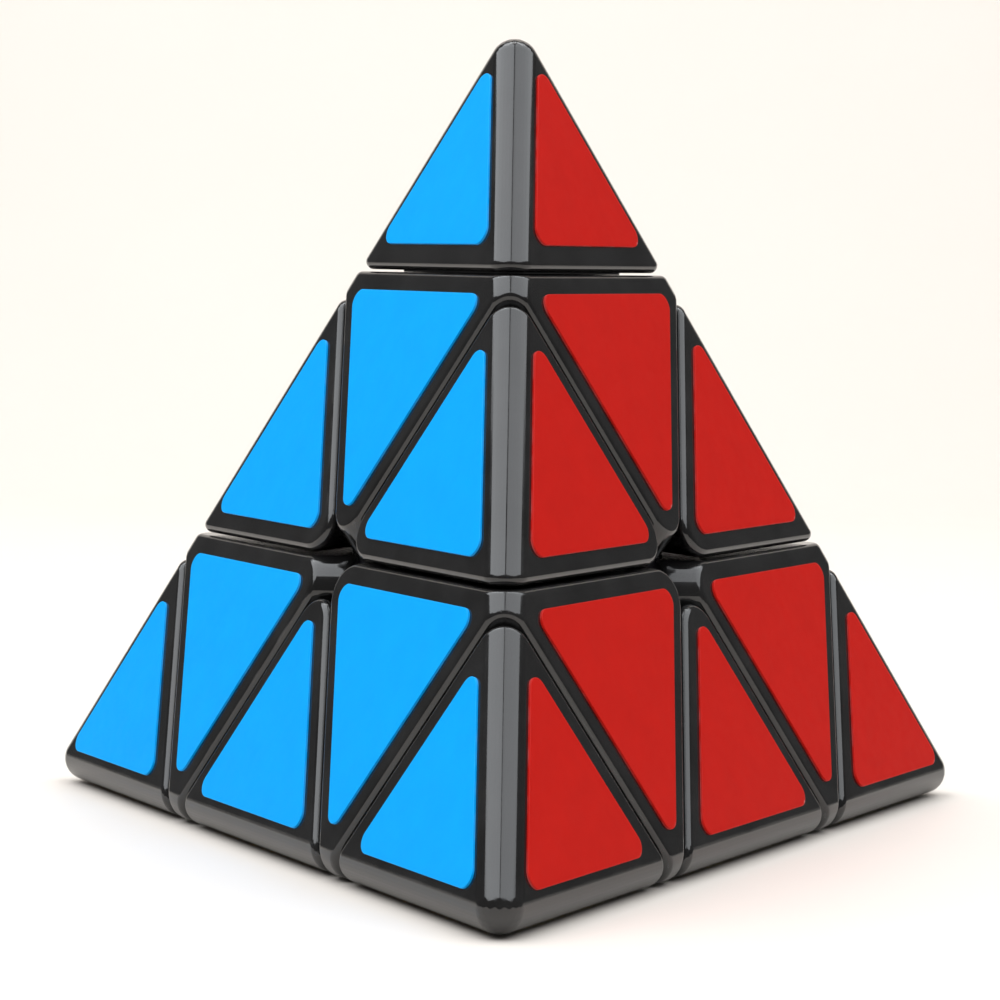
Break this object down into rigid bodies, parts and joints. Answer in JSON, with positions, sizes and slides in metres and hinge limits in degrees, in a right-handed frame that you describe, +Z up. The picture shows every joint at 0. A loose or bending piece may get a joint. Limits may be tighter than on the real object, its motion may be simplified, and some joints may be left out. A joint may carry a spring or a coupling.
{
  "type": "pyramid twisty puzzle",
  "caption": "Tetrahedral twisty puzzle with turning corner layers and tips, coloured triangular stickers on black plastic, and a sprung core.",
  "frame": {"origin": "middle of the core, where the four turning axes cross; the face that the puzzle rests on is 21.89 mm below it", "axes": "+Z up through the top corner, -Y towards the front corner, +X towards the right corner; the base faces -Z"},
  "size_m": [0.0998, 0.0865, 0.0818],
  "materials": {
    "black_plastic": "moulded plastic, satin to glossy, fine texture and rubbed edges",
    "core_plastic": "moulded plastic, greased, matt",
    "blue_sticker": "vinyl, satin, die cut",
    "red_sticker": "vinyl, satin, die cut",
    "green_sticker": "vinyl, satin, die cut",
    "yellow_sticker": "vinyl, satin, die cut",
    "steel": "zinc-plated steel",
    "spring_steel": "drawn spring wire"
  },
  "bodies": {
    "core": {"core_spider": "core_plastic", "axis_screws": "steel", "axis_springs": "spring_steel", "axis_washers": "steel"},
    "centre_top": {"centre_top": "black_plastic", "green_sticker_centre_top": "green_sticker", "blue_sticker_centre_top": "blue_sticker", "red_sticker_centre_top": "red_sticker"},
    "tip_top": {"tip_top": "black_plastic", "green_sticker_tip_top": "green_sticker", "blue_sticker_tip_top": "blue_sticker", "red_sticker_tip_top": "red_sticker"},
    "centre_front": {"centre_front": "black_plastic", "yellow_sticker_centre_front": "yellow_sticker", "blue_sticker_centre_front": "blue_sticker", "red_sticker_centre_front": "red_sticker"},
    "tip_front": {"tip_front": "black_plastic", "yellow_sticker_tip_front": "yellow_sticker", "blue_sticker_tip_front": "blue_sticker", "red_sticker_tip_front": "red_sticker"},
    "centre_right": {"centre_right": "black_plastic", "yellow_sticker_centre_right": "yellow_sticker", "green_sticker_centre_right": "green_sticker", "red_sticker_centre_right": "red_sticker"},
    "tip_right": {"tip_right": "black_plastic", "yellow_sticker_tip_right": "yellow_sticker", "green_sticker_tip_right": "green_sticker", "red_sticker_tip_right": "red_sticker"},
    "centre_left": {"centre_left": "black_plastic", "yellow_sticker_centre_left": "yellow_sticker", "green_sticker_centre_left": "green_sticker", "blue_sticker_centre_left": "blue_sticker"},
    "tip_left": {"tip_left": "black_plastic", "yellow_sticker_tip_left": "yellow_sticker", "green_sticker_tip_left": "green_sticker", "blue_sticker_tip_left": "blue_sticker"},
    "edge_top_front": {"edge_shell_top_front": "black_plastic", "edge_foot_top_front": "core_plastic", "blue_sticker_edge_top_front": "blue_sticker", "red_sticker_edge_top_front": "red_sticker"},
    "edge_top_right": {"edge_shell_top_right": "black_plastic", "edge_foot_top_right": "core_plastic", "green_sticker_edge_top_right": "green_sticker", "red_sticker_edge_top_right": "red_sticker"},
    "edge_top_left": {"edge_shell_top_left": "black_plastic", "edge_foot_top_left": "core_plastic", "green_sticker_edge_top_left": "green_sticker", "blue_sticker_edge_top_left": "blue_sticker"},
    "edge_front_right": {"edge_shell_front_right": "black_plastic", "edge_foot_front_right": "core_plastic", "yellow_sticker_edge_front_right": "yellow_sticker", "red_sticker_edge_front_right": "red_sticker"},
    "edge_front_left": {"edge_shell_front_left": "black_plastic", "edge_foot_front_left": "core_plastic", "yellow_sticker_edge_front_left": "yellow_sticker", "blue_sticker_edge_front_left": "blue_sticker"},
    "edge_right_left": {"edge_shell_right_left": "black_plastic", "edge_foot_right_left": "core_plastic", "yellow_sticker_edge_right_left": "yellow_sticker", "green_sticker_edge_right_left": "green_sticker"}
  },
  "joints": [
    {"name": "top_layer_turn", "type": "hinge", "parent": "core", "child": "centre_top", "pos_m": [0, 0, 0], "axis": [0, 0, 1], "continuous": true},
    {"name": "front_layer_turn", "type": "hinge", "parent": "core", "child": "centre_front", "pos_m": [0, 0, 0], "axis": [0, -0.9428, -0.3333], "range_deg": [-360, 360]},
    {"name": "right_layer_turn", "type": "hinge", "parent": "core", "child": "centre_right", "pos_m": [0, 0, 0], "axis": [0.8165, 0.4714, -0.3333], "range_deg": [-360, 360]},
    {"name": "left_layer_turn", "type": "hinge", "parent": "core", "child": "centre_left", "pos_m": [0, 0, 0], "axis": [-0.8165, 0.4714, -0.3333], "range_deg": [-360, 360]},
    {"name": "top_tip_turn", "type": "hinge", "parent": "centre_top", "child": "tip_top", "pos_m": [0, 0, 0], "axis": [0, 0, 1], "continuous": true},
    {"name": "front_tip_turn", "type": "hinge", "parent": "centre_front", "child": "tip_front", "pos_m": [0, 0, 0], "axis": [0, -0.9428, -0.3333], "continuous": true},
    {"name": "right_tip_turn", "type": "hinge", "parent": "centre_right", "child": "tip_right", "pos_m": [0, 0, 0], "axis": [0.8165, 0.4714, -0.3333], "continuous": true},
    {"name": "left_tip_turn", "type": "hinge", "parent": "centre_left", "child": "tip_left", "pos_m": [0, 0, 0], "axis": [-0.8165, 0.4714, -0.3333], "continuous": true},
    {"name": "top_front_edge_follow", "type": "hinge", "parent": "centre_top", "child": "edge_top_front", "pos_m": [0, 0, 0], "axis": [0, -0.9428, -0.3333], "range_deg": [-360, 360]},
    {"name": "top_right_edge_follow", "type": "hinge", "parent": "centre_top", "child": "edge_top_right", "pos_m": [0, 0, 0], "axis": [0.8165, 0.4714, -0.3333], "range_deg": [-360, 360]},
    {"name": "top_left_edge_follow", "type": "hinge", "parent": "centre_top", "child": "edge_top_left", "pos_m": [0, 0, 0], "axis": [-0.8165, 0.4714, -0.3333], "range_deg": [-360, 360]},
    {"name": "front_right_edge_follow", "type": "hinge", "parent": "centre_front", "child": "edge_front_right", "pos_m": [0, 0, 0], "axis": [0.8165, 0.4714, -0.3333], "range_deg": [-360, 360]},
    {"name": "front_left_edge_follow", "type": "hinge", "parent": "centre_front", "child": "edge_front_left", "pos_m": [0, 0, 0], "axis": [-0.8165, 0.4714, -0.3333], "range_deg": [-360, 360]},
    {"name": "right_left_edge_follow", "type": "hinge", "parent": "centre_right", "child": "edge_right_left", "pos_m": [0, 0, 0], "axis": [-0.8165, 0.4714, -0.3333], "range_deg": [-360, 360]}
  ],
  "couplings": [
    {"joint": "top_front_edge_follow", "follows": "front_layer_turn", "ratio": 1},
    {"joint": "top_right_edge_follow", "follows": "right_layer_turn", "ratio": 1},
    {"joint": "top_left_edge_follow", "follows": "left_layer_turn", "ratio": 1},
    {"joint": "front_right_edge_follow", "follows": "right_layer_turn", "ratio": 1},
    {"joint": "front_left_edge_follow", "follows": "left_layer_turn", "ratio": 1},
    {"joint": "right_left_edge_follow", "follows": "left_layer_turn", "ratio": 1}
  ]
}
